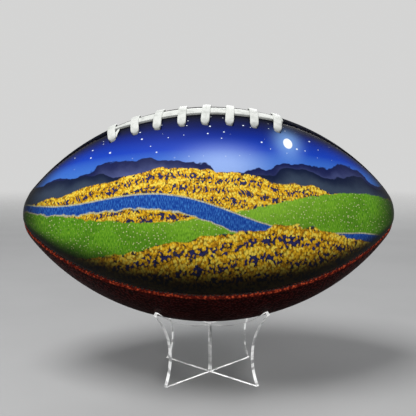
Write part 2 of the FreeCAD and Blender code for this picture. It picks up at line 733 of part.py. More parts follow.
def make_plate(name, turn, slot_bottom, slot_top):
    """One plate of the stand, turned in plan, with its half of the crossing slot."""
    body = new_body(name)
    pad_both_ways(body, plate_outline(body), cell("plate_thickness"))
    crossing = math.radians(2 * size["plate_angle"])
    skew = (1 + abs(math.cos(crossing))) / math.sin(crossing)
    half_slot = f"({skew} * {cell('plate_thickness')} / 2 + {cell('slot_clearance')})"
    slot = new_sketch(body, "XZ_Plane")
    add_polygon(slot, [
        (f"-{half_slot}", slot_bottom), (half_slot, slot_bottom),
        (half_slot, slot_top), (f"-{half_slot}", slot_top),
    ])
    pocket = body.newObject("PartDesign::Pocket", f"{name}_slot")
    pocket.Profile = slot
    pocket.Type = "ThroughAll"
    pocket.SideType = "Symmetric"
    body.Placement = about_z(turn)


def make_stand():
    lower_end = f"({cell('slot_height')} - {cell('slot_clearance')})"
    upper_end = f"({cell('slot_height')} + {cell('slot_clearance')})"
    above = f"({cradle_height} + {SLOT_OVERRUN})"
    below = f"(0 - {SLOT_OVERRUN})"
    make_plate("stand_plate_lower", size["plate_angle"], lower_end, above)
    make_plate("stand_plate_upper", -size["plate_angle"], below, upper_end)


# Checking and writing.

def pieces():
    """The finished pieces: bodies, threads and cut shapes, without what a cut is made from."""
    kinds = ("PartDesign::Body", "Part::Torus", "Part::Cut")
    used = [item.Base for item in doc.Objects if item.TypeId == "Part::Cut"]
    return [item for item in doc.Objects if item.TypeId in kinds and item not in used]


def check_features():
    """Stop if any feature failed, or if a cut took nothing away."""
    for item in doc.Objects:
        if "Invalid" in item.State or "Error" in item.State:
            raise RuntimeError(f"{item.Label} failed: {item.getStatusString()}")
    cutters = ("PartDesign::Pocket", "PartDesign::Groove",
               "PartDesign::SubtractiveBox", "PartDesign::SubtractiveCylinder")
    for item in doc.Objects:
        if item.TypeId in cutters and item.Shape.Volume >= item.BaseFeature.Shape.Volume:
            raise RuntimeError(f"{item.Label} cuts nothing")
        if item.TypeId == "Part::Cut" and item.Shape.Volume >= item.Base.Shape.Volume:
            raise RuntimeError(f"{item.Label} is not cut")


def check_pieces():
    """Stop unless every piece is one valid solid."""
    for piece in pieces():
        shape = piece.Shape
        if shape.isNull() or not shape.isValid() or len(shape.Solids) != 1:
            raise RuntimeError(f"{piece.Label} is not one valid solid")


def write_pieces():
    os.makedirs("parts", exist_ok=True)
    for piece in pieces():
        piece.Shape.exportStep(os.path.join("parts", f"{piece.Label}.step"))
        box = piece.Shape.BoundBox
        print(f"{piece.Label}: {piece.Shape.Volume:.1f} mm3, "
              f"X {box.XMin:.2f} {box.XMax:.2f}, Y {box.YMin:.2f} {box.YMax:.2f}, "
              f"Z {box.ZMin:.2f} {box.ZMax:.2f}")


make_stand()
make_panels()
make_linings()
make_bladder()
make_valve()
make_lacing()
make_threads()
doc.recompute()
check_features()
check_pieces()
write_pieces()
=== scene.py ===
import math

import bmesh
import bpy
from mathutils import Matrix, Vector


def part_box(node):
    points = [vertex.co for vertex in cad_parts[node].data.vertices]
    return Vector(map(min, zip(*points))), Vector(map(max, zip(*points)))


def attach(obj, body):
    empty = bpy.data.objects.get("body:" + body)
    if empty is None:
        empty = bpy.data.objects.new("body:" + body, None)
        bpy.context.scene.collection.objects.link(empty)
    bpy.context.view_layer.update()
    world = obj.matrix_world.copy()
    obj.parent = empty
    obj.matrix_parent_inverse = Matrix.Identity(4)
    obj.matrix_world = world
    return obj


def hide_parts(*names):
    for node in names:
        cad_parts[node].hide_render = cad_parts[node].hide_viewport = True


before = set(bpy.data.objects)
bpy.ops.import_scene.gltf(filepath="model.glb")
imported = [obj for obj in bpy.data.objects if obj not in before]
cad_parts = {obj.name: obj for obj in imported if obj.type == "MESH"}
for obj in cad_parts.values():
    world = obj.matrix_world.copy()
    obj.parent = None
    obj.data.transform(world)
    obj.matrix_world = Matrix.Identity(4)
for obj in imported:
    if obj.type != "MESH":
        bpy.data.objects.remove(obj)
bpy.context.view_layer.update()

# A printed football on a clear stand of two crossed plates, dressed over its solids, in metres.
# The ball's pieces are shaped in the ball's own frame, with its middle at the origin, X along the
# ball and the lace seam on +Z, and are then leaned and lifted onto the stand.

MM = 0.001

# Outer form of the ball: one long arc, blended into a round nose at each end.
HALF_LENGTH = 142.5 * MM
HALF_WIDTH = 82 * MM
NOSE_RADIUS = 30 * MM
NOSE_STATION = HALF_LENGTH - NOSE_RADIUS
NOSE_RISE = HALF_WIDTH - NOSE_RADIUS
ARC_DROP = (NOSE_STATION ** 2 - NOSE_RISE ** 2) / (2 * NOSE_RISE)
ARC_RADIUS = HALF_WIDTH + ARC_DROP
BLEND_STATION = ARC_RADIUS * NOSE_STATION / math.hypot(NOSE_STATION, ARC_DROP)
ARC_CENTRE = Vector((0, 0, -ARC_DROP))

# How the ball lies on its stand.
LACE_LEAN = math.radians(21)
BALL_HEIGHT = (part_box("bladder")[0][2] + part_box("bladder")[1][2]) / 2
BALL_PLACE = Matrix.Translation((0, 0, BALL_HEIGHT)) @ Matrix.Rotation(LACE_LEAN, 4, "X")

# Cover panels, each from a start to a span about the ball, measured from the lace seam to the front.
FRONT_SPAN = math.radians(106.5)
OTHER_SPAN = (2 * math.pi - FRONT_SPAN) / 3
PANELS = {
    "front_panel": (0, FRONT_SPAN),
    "lower_front_panel": (FRONT_SPAN, OTHER_SPAN),
    "lower_rear_panel": (FRONT_SPAN + OTHER_SPAN, OTHER_SPAN),
    "rear_panel": (FRONT_SPAN + 2 * OTHER_SPAN, OTHER_SPAN),
}
ARC_STEPS = 280
NOSE_STEPS = 80
PANEL_STEP = math.radians(2)
LEATHER_THICKNESS = 1.6 * MM
TIP_OPENING = 0.9 * MM
HALF_SEAM = 0.4 * MM
LIP_LOOPS = [distance * MM for distance in (0.55, 0.85, 1.3, 1.9, 2.6, 3.4, 4.4)]
LIP_WIDTH = 3.6 * MM
LIP_DEPTH = 1.7 * MM
LIP_SHARE = 0.3
OUTLINE_MERGE = 0.02 * MM
PANEL_MERGE = 0.05 * MM
PANEL_SMOOTHING = math.radians(50)

# Place off the ball, from which a panel's points are put in order.
SORT_PLACE = (0.31, 0.17, 0.23)

# Lacing.
LACE_COUNT = 8
LACE_PITCH = 16.9 * MM
LACE_SHIFT = -12.1 * MM
LACE_WIDTH = 6.1 * MM
LACE_THICKNESS = 1.4 * MM
LACE_REACH = 20.6 * MM
LACE_CROWN = 1.5 * MM
LACE_SEAT = 0.15 * MM
LACE_BEND = 1.7 * MM
LACE_LEG = 3 * MM
LACE_NARROWEST = 0.45
LACE_ROUNDING = 3.6 * MM
LACE_EDGE = 0.55 * MM
LACE_YAWS = [math.radians(yaw) for yaw in (4, 1, -4, -2.5, -4.5, -4, -2, -3)]
BEND_STEPS = 6
ARCH_STEPS = 30
HOLE_MARGIN = 0.45 * MM
HOLE_REACH = 1.5
BAND_WIDTH = 11 * MM
BAND_THICKNESS = 1.9 * MM
BAND_ENDS = (-74 * MM, 51.2 * MM)
BAND_TAPERS = ((-40 * MM, 0.14), (20 * MM, 0.6))
BAND_TAPER_POWER = 1.5
BAND_EDGE = 0.6 * MM
BAND_CUTS = 3
BAND_STEPS = 44
STRIP_EDGE_STEPS = 3
STRIP_SHARPEST = math.radians(50)
STRIP_MERGE = 0.01 * MM
STRIP_SMOOTHING = math.radians(60)

# Short pointed end of the lace. Its steps are in millimetres, each from the end of the last.
TAIL_SHIFT = 2.2 * MM
TAIL_WIDTH = 2.6 * MM
TAIL_THICKNESS = 1.3 * MM
TAIL_STEPS = ((0.3, 0, 1.8), (0.5, 0.6, 1.2), (0.9, 2.2, 0.8), (1.1, 3.0, 0.5), (0.9, 2.8, 0.2))
TAIL_TIP = 0.35
TAIL_EDGE = 0.4 * MM
TAIL_EDGE_STEPS = 2
TAIL_SHARPEST = math.radians(60)
TAIL_INSET = 4.5 * MM
TAIL_DEPTH = 3.2 * MM

# Stitching in the seams.
STITCH_PITCH = 3.3 * MM
STITCH_LENGTH = 3.0 * MM
STITCH_RADIUS = 0.4 * MM
STITCH_SLANT = math.radians(9)
STITCH_DEPTH = 0.75 * MM
STITCH_SIDES = 8
STITCH_RINGS = 6
THREAD_TIP_MARGIN = 9 * MM
LACING_MARGIN = 14 * MM

# Valve in the rear panel.
VALVE_STATION = 40 * MM
VALVE_TURN = math.radians(-48)
VALVE_HOLE = 4.3 * MM
VALVE_SIDES = 14

# Stand.
PLATE_TURN = math.radians(45)
PLATE_EDGE = 0.3 * MM
PLATE_EDGE_STEPS = 2
PLATE_SHARPEST = math.radians(30)
PLATE_MERGE = 0.005 * MM
PLATE_FLATNESS = math.radians(0.5)
PLATE_SMOOTHING = math.radians(35)
PLATE_FACE_SHARE = 0.98


# Ways of shaping a piece.

def deselect_all():
    bpy.ops.object.select_all(action="DESELECT")


def named(name):
    """The primitive that was just added, under its own name and with its place in its mesh."""
    piece = bpy.context.object
    piece.name = name
    piece.data.name = name
    bpy.ops.object.transform_apply(location=True, rotation=True, scale=True)
    return piece


def edit_all():
    bpy.ops.object.mode_set(mode="EDIT")
    bpy.ops.mesh.select_mode(type="VERT")
    bpy.ops.mesh.select_all(action="SELECT")


def end_edit():
    bpy.ops.object.mode_set(mode="OBJECT")


def choose(piece):
    deselect_all()
    piece.select_set(True)
    bpy.context.view_layer.objects.active = piece


def modify(piece, kind, **settings):
    """Add a modifier and apply it."""
    choose(piece)
    modifier = piece.modifiers.new(kind, kind)
    for name, setting in settings.items():
        setattr(modifier, name, setting)
    bpy.ops.object.modifier_apply(modifier=modifier.name)


def ease_edges(piece, width, steps, sharpest):
    """Round off the edges that bend by more than an angle."""
    modify(piece, "BEVEL", width=width, segments=steps, limit_method="ANGLE", angle_limit=sharpest)


def soften(piece, levels):
    """Let the faces of a piece run softly into each other."""
    modify(piece, "SUBSURF", levels=levels, render_levels=levels)


def settle(piece, place):
    """Move a piece to its place, and keep that place in its mesh."""
    choose(piece)
    piece.matrix_world = place
    bpy.ops.object.transform_apply(location=True, rotation=True, scale=True)


def cut(point, normal, clear=False):
    """Cut the whole mesh along a plane, and if asked remove what lies behind it."""
    bpy.ops.mesh.select_all(action="SELECT")
    bpy.ops.mesh.bisect(plane_co=point, plane_no=normal, clear_inner=clear)


def sweep(angle, centre, axis, steps):
    """Carry the selected outline round an axis by a right-handed angle."""
    bpy.ops.mesh.spin(steps=steps, angle=-angle, center=centre, axis=axis)


def push(x, y, z):
    """Extrude what is selected by a distance."""
    bpy.ops.mesh.extrude_region_move(TRANSFORM_OT_translate={"value": (x, y, z)})


def order_points():
    """Put a mesh's points in one order, by their distance from a place off the ball."""
    cursor = bpy.context.scene.cursor
    cursor.location = SORT_PLACE
    bpy.ops.mesh.select_all(action="SELECT")
    bpy.ops.mesh.sort_elements(type="CURSOR_DISTANCE", elements={"VERT", "EDGE", "FACE"})
    cursor.location = (0, 0, 0)


def clean_faces():
    """Merge what coincides and turn every face outwards."""
    bpy.ops.mesh.select_all(action="SELECT")
    bpy.ops.mesh.remove_doubles(threshold=STRIP_MERGE)
    bpy.ops.mesh.normals_make_consistent(inside=False)


def smooth(piece, angle):
    choose(piece)
    bpy.ops.object.shade_smooth_by_angle(angle=angle)


def write_attribute(piece, name, value_at):
    """Keep a number at each vertex, worked out from the vertex's place."""
    attribute = piece.data.attributes.new(name, "FLOAT", "POINT")
    for index, vertex in enumerate(piece.data.vertices):
        attribute.data[index].value = value_at(vertex.co)


def clamped(share):
    return min(max(share, 0), 1)


# Places on the ball.

def ball_radius(station):
    return math.sqrt(ARC_RADIUS ** 2 - station ** 2) - ARC_DROP


def surface_slope(station):
    return math.asin(station / ARC_RADIUS)


def surface_frame(station, turn=0.0):
    """Frame on the cover: Z outwards, X along the ball, turned about the ball from the lace seam."""
    foot = Matrix.Translation((station, 0, ball_radius(station)))
    lean = Matrix.Rotation(surface_slope(station), 4, "Y")
    return Matrix.Rotation(turn, 4, "X") @ foot @ lean


def along_arc(slope):
    """Carries what lies at the middle of the ball along its long arc, as far as a slope."""
    back = Matrix.Translation(-ARC_CENTRE)
    return Matrix.Translation(ARC_CENTRE) @ Matrix.Rotation(slope, 4, "Y") @ back


def outward(point):
    """Direction square to the cover at a point near it."""
    radius = math.hypot(point.y, point.z)
    if abs(point.x) < BLEND_STATION:
        along, out = point.x, radius + ARC_DROP
    else:
        along, out = point.x - math.copysign(NOSE_STATION, point.x), radius
    direction = Vector((along, point.y / radius * out, point.z / radius * out))
    return direction.normalized()


def turn_of(point):
    """Angle of a point about the ball, from the lace seam towards the front."""
    return math.atan2(-point.y, point.z) % (2 * math.pi)


def last_seam_distance(point, span):
    """Distance of a point of a panel from the plane of the panel's last seam."""
    return point.y * math.cos(span) + point.z * math.sin(span)


def seam_distance(point, span):
    """Distance of a point of a panel from its nearer seam plane."""
    return min(-point.y, last_seam_distance(point, span))


def lower_seam_share(point, span):
    """How far a point of a panel lies above its last seam, as a share of the ball's radius there."""
    return last_seam_distance(point, span) / math.hypot(point.y, point.z)


def lace_seam_distance(node, point, span):
    """Distance of a point of a panel from the plane of the lace seam, if the panel ends there."""
    if node == "front_panel":
        return -point.y
    if node == "rear_panel":
        return last_seam_distance(point, span)
    return HALF_LENGTH


# Cover.

def ball_outline(name):
    """Half outline of the ball along the lace seam, from nose to nose."""
    deselect_all()
    upright = (math.pi / 2, 0, 0)
    bpy.ops.mesh.primitive_circle_add(
        vertices=ARC_STEPS, radius=ARC_RADIUS, location=ARC_CENTRE, rotation=upright)
    piece = named(name)
    edit_all()
    for side in (-1, 1):
        cut((side * BLEND_STATION, 0, 0), (-side, 0, 0), clear=True)
    cut((0, 0, 0), (0, 0, 1), clear=True)
    for side in (-1, 1):
        bpy.ops.mesh.select_all(action="DESELECT")
        bpy.ops.mesh.primitive_circle_add(
            vertices=NOSE_STEPS, radius=NOSE_RADIUS, location=(side * NOSE_STATION, 0, 0),
            rotation=upright)
        bpy.ops.mesh.bisect(
            plane_co=(side * BLEND_STATION, 0, 0), plane_no=(side, 0, 0), clear_inner=True)
    cut((0, 0, TIP_OPENING), (0, 0, 1), clear=True)
    bpy.ops.mesh.select_all(action="SELECT")
    bpy.ops.mesh.remove_doubles(threshold=OUTLINE_MERGE)
    return piece


def trim_at_seams(span):
    """Trim a panel along both seams, and run loops beside them for the rolled lip."""
    seams = ((0, -1, 0), (0, math.cos(span), math.sin(span)))
    for normal in seams:
        direction = Vector(normal)
        cut(direction * HALF_SEAM, direction, clear=True)
        for distance in LIP_LOOPS:
            cut(direction * distance, direction)


def roll_lips(piece, span):
    """Turn the panel's edges in towards the seams, less and less near the tips."""
    for vertex in piece.data.vertices:
        point = vertex.co
        width = min(LIP_WIDTH, LIP_SHARE * math.hypot(point.y, point.z))
        share = clamped((seam_distance(point, span) - HALF_SEAM) / width)
        depth = min(LIP_DEPTH, width / 2) * (1 - math.sqrt(1 - (1 - share) ** 2))
        vertex.co = point - outward(point) * depth


def face_out(piece):
    """Turn an open sheet's faces away from the ball's axis."""
    bpy.ops.mesh.select_all(action="SELECT")
    bpy.ops.mesh.normals_make_consistent(inside=False)
    end_edit()
    first = piece.data.polygons[0]
    if first.normal.dot(outward(first.center)) < 0:
        edit_all()
        bpy.ops.mesh.flip_normals()
        end_edit()


def make_panel(node, start, span):
    """One leather panel with rolled lips, lying from the lace seam towards the front."""
    piece = ball_outline(f"{node}_leather")
    sweep(span, (0, 0, 0), (1, 0, 0), round(span / PANEL_STEP))
    trim_at_seams(span)
    if node == "front_panel":
        punch_lace_holes(piece, -1, start)
    if node == "rear_panel":
        punch_lace_holes(piece, 1, start)
        punch_valve_hole(piece, start)
    bpy.ops.mesh.select_mode(type="VERT")
    order_points()
    bpy.ops.mesh.remove_doubles(threshold=PANEL_MERGE)
    face_out(piece)
    roll_lips(piece, span)
    modify(piece, "SOLIDIFY", thickness=LEATHER_THICKNESS, offset=-1, use_even_offset=True)
    return piece


def select_faces(piece, chosen):
    """Select the faces whose middle passes a test."""
    bpy.ops.mesh.select_mode(type="FACE")
    bpy.ops.mesh.select_all(action="DESELECT")
    mesh = bmesh.from_edit_mesh(piece.data)
    for face in mesh.faces:
        if chosen(face.calc_center_median()):
            face.select_set(True)
    bmesh.update_edit_mesh(piece.data)


def punch(piece, place, sides):
    """Punch a hole in a sheet: each side has its direction and its distance from the place."""
    centre = place.translation
    planes = []
    for direction, distance in sides:
        normal = place.to_3x3() @ direction
        planes.append((centre + normal * distance, normal))
    reach = HOLE_REACH * max(distance for direction, distance in sides) + PANEL_STEP * HALF_WIDTH
    for point, normal in planes:
        select_faces(piece, lambda middle: (middle - centre).length < reach)
        bpy.ops.mesh.bisect(plane_co=point, plane_no=normal)
    select_faces(piece, lambda middle: (middle - centre).length < reach and all(
        (middle - point).dot(normal) < 0 for point, normal in planes))
    bpy.ops.mesh.delete(type="FACE")


def punch_lace_holes(piece, side, panel_start):
    """Slots for the lace on the front (-1) or rear (1) side of the lace seam."""
    half_width = LACE_WIDTH * LACE_NARROWEST / 2 + HOLE_MARGIN
    half_depth = LACE_THICKNESS / 2 + HOLE_MARGIN
    sides = [(Vector((1, 0, 0)), half_width), (Vector((-1, 0, 0)), half_width),
             (Vector((0, 1, 0)), half_depth), (Vector((0, -1, 0)), half_depth)]
    for station in lace_stations():
        across = side * (lace_reach(station) - LACE_THICKNESS / 2)
        sag = across ** 2 / (2 * ball_radius(station))
        place = surface_frame(station) @ Matrix.Translation((0, across, -sag))
        punch(piece, Matrix.Rotation(-panel_start, 4, "X") @ place, sides)


def punch_valve_hole(piece, panel_start):
    place = Matrix.Rotation(-panel_start, 4, "X") @ surface_frame(VALVE_STATION, VALVE_TURN)
    sides = []
    for index in range(VALVE_SIDES):
        angle = 2 * math.pi * index / VALVE_SIDES
        sides.append((Vector((math.cos(angle), math.sin(angle), 0)), VALVE_HOLE))
    punch(piece, place, sides)


def dress_cover():
    """The four panels, with the lace holes and the valve hole punched in them."""
    for node, (start, span) in PANELS.items():
        piece = make_panel(node, start, span)
        write_attribute(piece, "seam", lambda point: seam_distance(point, span) - HALF_SEAM)
        write_attribute(piece, "lace", lambda point: lace_seam_distance(node, point, span))
        write_attribute(piece, "lower", lambda point: lower_seam_share(point, span))
        write_attribute(piece, "along", lambda point: point.x)
        middle = span / 2
        write_attribute(
            piece, "across",
            lambda point: (turn_of(point) - middle) * math.hypot(point.y, point.z))
        smooth(piece, PANEL_SMOOTHING)
        settle(piece, BALL_PLACE @ Matrix.Rotation(start, 4, "X"))
        finish = printed_leather if node == "front_panel" else brown_leather
        hand_over(piece, finish, "ball", finish.name, node)


# Lacing.

def lace_stations():
    middle = (LACE_COUNT - 1) / 2
    return [LACE_SHIFT + (index - middle) * LACE_PITCH for index in range(LACE_COUNT)]


def lace_reach(station):
    """Reach of a cross-lace from the seam, less where the ball is slimmer."""
    return LACE_REACH * ball_radius(station) / HALF_WIDTH


def lace_arch(station):
    """Centre height and middle radius of the arch that a cross-lace makes over the band."""
    cover_radius = ball_radius(station) / math.cos(surface_slope(station))
    inner_reach = lace_reach(station) - LACE_THICKNESS
    fall = cover_radius - math.sqrt(cover_radius ** 2 - inner_reach ** 2)
    rise = LACE_CROWN - LACE_SEAT + fall
    inner_radius = (inner_reach ** 2 + rise ** 2) / (2 * rise)
    return LACE_CROWN - inner_radius, inner_radius + LACE_THICKNESS / 2


def make_cross_lace(name, station):
    """Flat strip that comes up out of its hole, arches over the band and goes down on the far side."""
    centre_height, arch_radius = lace_arch(station)
    leg_place = lace_reach(station) - LACE_THICKNESS / 2
    bend_place = leg_place - LACE_BEND
    half_arch = math.asin(bend_place / (arch_radius - LACE_BEND))
    bend_height = centre_height + (arch_radius - LACE_BEND) * math.cos(half_arch)
    bend_turn = math.pi / 2 - half_arch

    deselect_all()
    bpy.ops.mesh.primitive_plane_add(size=1, location=(0, -leg_place, bend_height - LACE_LEG))
    bpy.context.object.scale = (LACE_WIDTH, LACE_THICKNESS, 1)
    piece = named(name)
    edit_all()
    push(0, 0, LACE_LEG)
    sweep(-bend_turn, (0, -bend_place, bend_height), (1, 0, 0), BEND_STEPS)
    sweep(-2 * half_arch, (0, 0, centre_height), (1, 0, 0), ARCH_STEPS)
    sweep(-bend_turn, (0, bend_place, bend_height), (1, 0, 0), BEND_STEPS)
    push(0, 0, -LACE_LEG)
    clean_faces()
    end_edit()
    narrow_lace_ends(piece, lace_reach(station))
    ease_edges(piece, LACE_EDGE, STRIP_EDGE_STEPS, STRIP_SHARPEST)
    soften(piece, 1)
    return piece


def narrow_lace_ends(piece, reach):
    """Draw the strip in where it goes down into its holes, so that its ends look round."""
    start = reach - LACE_ROUNDING
    for vertex in piece.data.vertices:
        share = clamped((abs(vertex.co.y) - start) / LACE_ROUNDING)
        vertex.co.x *= max(math.sqrt(1 - share ** 2), LACE_NARROWEST)


def make_band():
    """Lengthwise run of the lace along the seam, crowned, and drawn to a point at its left end."""
    first, last = [surface_slope(end) for end in BAND_ENDS]
    middle_height = HALF_WIDTH + LACE_SEAT + BAND_THICKNESS / 2
    deselect_all()
    bpy.ops.mesh.primitive_plane_add(
        size=1, location=(0, 0, middle_height), rotation=(0, math.pi / 2, 0))
    bpy.context.object.scale = (BAND_THICKNESS, BAND_WIDTH, 1)
    piece = named("lace_band_strip")
    edit_all()
    bpy.ops.mesh.subdivide(number_cuts=BAND_CUTS)
    sweep(last - first, ARC_CENTRE, (0, 1, 0), BAND_STEPS)
    clean_faces()
    end_edit()
    settle(piece, along_arc(first))
    crown_and_taper(piece)
    ease_edges(piece, BAND_EDGE, STRIP_EDGE_STEPS, STRIP_SHARPEST)
    soften(piece, 1)
    return piece


def crown_and_taper(piece):
    """Lower the band's sides to follow the arches over it, and draw in its ends."""
    crown_radius = lace_arch(lace_stations()[0])[1]
    for vertex in piece.data.vertices:
        point = vertex.co
        for end, (taper_start, least) in zip(BAND_ENDS, BAND_TAPERS):
            share = clamped((point.x - taper_start) / (end - taper_start))
            point.y *= 1 - (1 - least) * share ** BAND_TAPER_POWER
        out = point - ARC_CENTRE
        out.y = 0
        point -= out.normalized() * (point.y ** 2 / (2 * crown_radius))


def make_lace_tail():
    """Pointed end of the lace, which shows beside the first cross-lace and runs up under the band."""
    station = lace_stations()[0]
    deselect_all()
    bpy.ops.mesh.primitive_plane_add(size=1, location=(0, 0, 0))
    bpy.context.object.scale = (TAIL_WIDTH, TAIL_THICKNESS, 1)
    piece = named("lace_tail")
    edit_all()
    for step in TAIL_STEPS:
        push(*[part * MM for part in step])
    bpy.ops.transform.resize(value=(TAIL_TIP, TAIL_TIP, TAIL_TIP))
    clean_faces()
    end_edit()
    ease_edges(piece, TAIL_EDGE, TAIL_EDGE_STEPS, TAIL_SHARPEST)
    soften(piece, 2)
    foot = Matrix.Translation((0, -lace_reach(station) + TAIL_INSET, -TAIL_DEPTH))
    settle(piece, BALL_PLACE @ surface_frame(station + TAIL_SHIFT) @ foot)
    return piece


def dress_lacing():
    for index, (station, turn) in enumerate(zip(lace_stations(), LACE_YAWS), start=1):
        node = f"cross_lace_{index}"
        piece = make_cross_lace(f"{node}_strip", station)
        reach = lace_reach(station)
        write_attribute(piece, "end", lambda point: abs(point.y) / reach)
        smooth(piece, STRIP_SMOOTHING)
        settle(piece, BALL_PLACE @ surface_frame(station) @ Matrix.Rotation(turn, 4, "Z"))
        hand_over(piece, white_lace, "ball", "white_lace", node)
    band = make_band()
    smooth(band, STRIP_SMOOTHING)
    settle(band, BALL_PLACE)
    hand_over(band, white_lace, "ball", "white_lace", "lace_band")
    tail = make_lace_tail()
    smooth(tail, STRIP_SMOOTHING)
    hand_over(tail, white_lace, "ball", "white_lace")


# Stitching.

def make_stitches(name, turn, first_station, last_station):
    """A row of slanted stitches down in a seam."""
    first, last = surface_slope(first_station), surface_slope(last_station)
    count = round(ARC_RADIUS * (last - first) / STITCH_PITCH)
    deselect_all()
    bpy.ops.mesh.primitive_uv_sphere_add(
        segments=STITCH_SIDES, ring_count=STITCH_RINGS, radius=STITCH_RADIUS,
        location=(0, 0, HALF_WIDTH - STITCH_DEPTH), rotation=(0, 0, STITCH_SLANT))
    bpy.context.object.scale = (STITCH_LENGTH / (2 * STITCH_RADIUS), 1, 1)
    piece = named(name)
    edit_all()
    bpy.ops.mesh.spin(
        steps=count, dupli=True, angle=first - last, center=ARC_CENTRE, axis=(0, 1, 0))
    end_edit()
    smooth(piece, STRIP_SMOOTHING)
    settle(piece, BALL_PLACE @ Matrix.Rotation(turn, 4, "X") @ along_arc(first))
    return piece


def dress_seams():
    end = HALF_LENGTH - THREAD_TIP_MARGIN
    stations = lace_stations()
    rows = {
        "seam_thread_front": (PANELS["lower_front_panel"][0], -end, end),
        "seam_thread_bottom": (PANELS["lower_rear_panel"][0], -end, end),
        "seam_thread_rear": (PANELS["rear_panel"][0], -end, end),
        "seam_thread_top_left": (0, -end, stations[0] - LACING_MARGIN),
        "seam_thread_top_right": (0, stations[-1] + LACING_MARGIN, end),
    }
    for node, (turn, first, last) in rows.items():
        piece = make_stitches(f"{node}_stitches", turn, first, last)
        hand_over(piece, seam_stitching, "ball", "seam_stitching", node)


# Stand.

def make_plate(node, turn):
    """A plate with its sharp arrises taken off, faces clear and cut edges polished."""
    deselect_all()
    piece = bpy.data.objects.new(f"{node}_clear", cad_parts[node].data.copy())
    bpy.context.collection.objects.link(piece)
    choose(piece)
    piece.data.materials.clear()
    edit_all()
    bpy.ops.mesh.remove_doubles(threshold=PLATE_MERGE)
    bpy.ops.mesh.select_all(action="SELECT")
    bpy.ops.mesh.dissolve_limited(angle_limit=PLATE_FLATNESS)
    end_edit()
    ease_edges(piece, PLATE_EDGE, PLATE_EDGE_STEPS, PLATE_SHARPEST)
    smooth(piece, PLATE_SMOOTHING)
    modify(piece, "WEIGHTED_NORMAL", keep_sharp=True)
    piece.data.materials.append(clear_acrylic.material)
    piece.data.materials.append(acrylic_edge.material)
    square = Vector((-math.sin(turn), math.cos(turn), 0))
    for polygon in piece.data.polygons:
        on_face = abs(polygon.normal.dot(square)) > PLATE_FACE_SHARE
        polygon.material_index = 0 if on_face else 1
    return piece


def dress_stand():
    for node, body, turn in (("stand_plate_lower", "stand_lower", PLATE_TURN),
                             ("stand_plate_upper", "stand_upper", -PLATE_TURN)):
        piece = make_plate(node, turn)
        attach(piece, body)
        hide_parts(node)


def hand_over(piece, finish, body, slot, *nodes):
    """Give a piece its finish and the body that it moves with, and hide the solids that it stands for."""
    piece.data.materials.clear()
    piece.data.materials.append(finish.material)
    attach(piece, body)
    if nodes:
        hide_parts(*nodes)


# Values that change over a surface, and the finishes that they make up.

class Value:
    """A value that changes over a surface, written in sums like a number."""

    def __init__(self, finish, socket):
        self.finish = finish
        self.socket = socket

    def math(self, operation, *operands):
        settings = {"operation": operation}
        return self.finish.node("ShaderNodeMath", settings, dict(enumerate(operands)))

    def __add__(self, other):
        return self.math("ADD", self, other)

    def __radd__(self, other):
        return self.math("ADD", other, self)

    def __sub__(self, other):
        return self.math("SUBTRACT", self, other)

    def __rsub__(self, other):
        return self.math("SUBTRACT", other, self)

    def __mul__(self, other):
        return self.math("MULTIPLY", self, other)

    def __rmul__(self, other):
        return self.math("MULTIPLY", other, self)

    def __truediv__(self, other):
        return self.math("DIVIDE", self, other)

    def __pow__(self, other):
        return self.math("POWER", self, other)

    def __abs__(self):
        return self.math("ABSOLUTE", self)

    def wave(self):
        return self.math("SINE", self)

    def most(self, other):
        return self.math("MAXIMUM", self, other)

    def rise(self, low, high):
        """0 up to low, 1 from high on, and smooth between; the other way round if low is above high."""
        settings = {"interpolation_type": "SMOOTHSTEP", "clamp": True}
        if low < high:
            ends = {1: low, 2: high, 3: 0.0, 4: 1.0}
        else:
            ends = {1: high, 2: low, 3: 1.0, 4: 0.0}
        return self.finish.node("ShaderNodeMapRange", settings, {0: self, **ends})


def colour(value):
    """A colour's three numbers with its alpha, and anything else as it is."""
    if isinstance(value, tuple) and len(value) == 3:
        return (*value, 1.0)
    return value


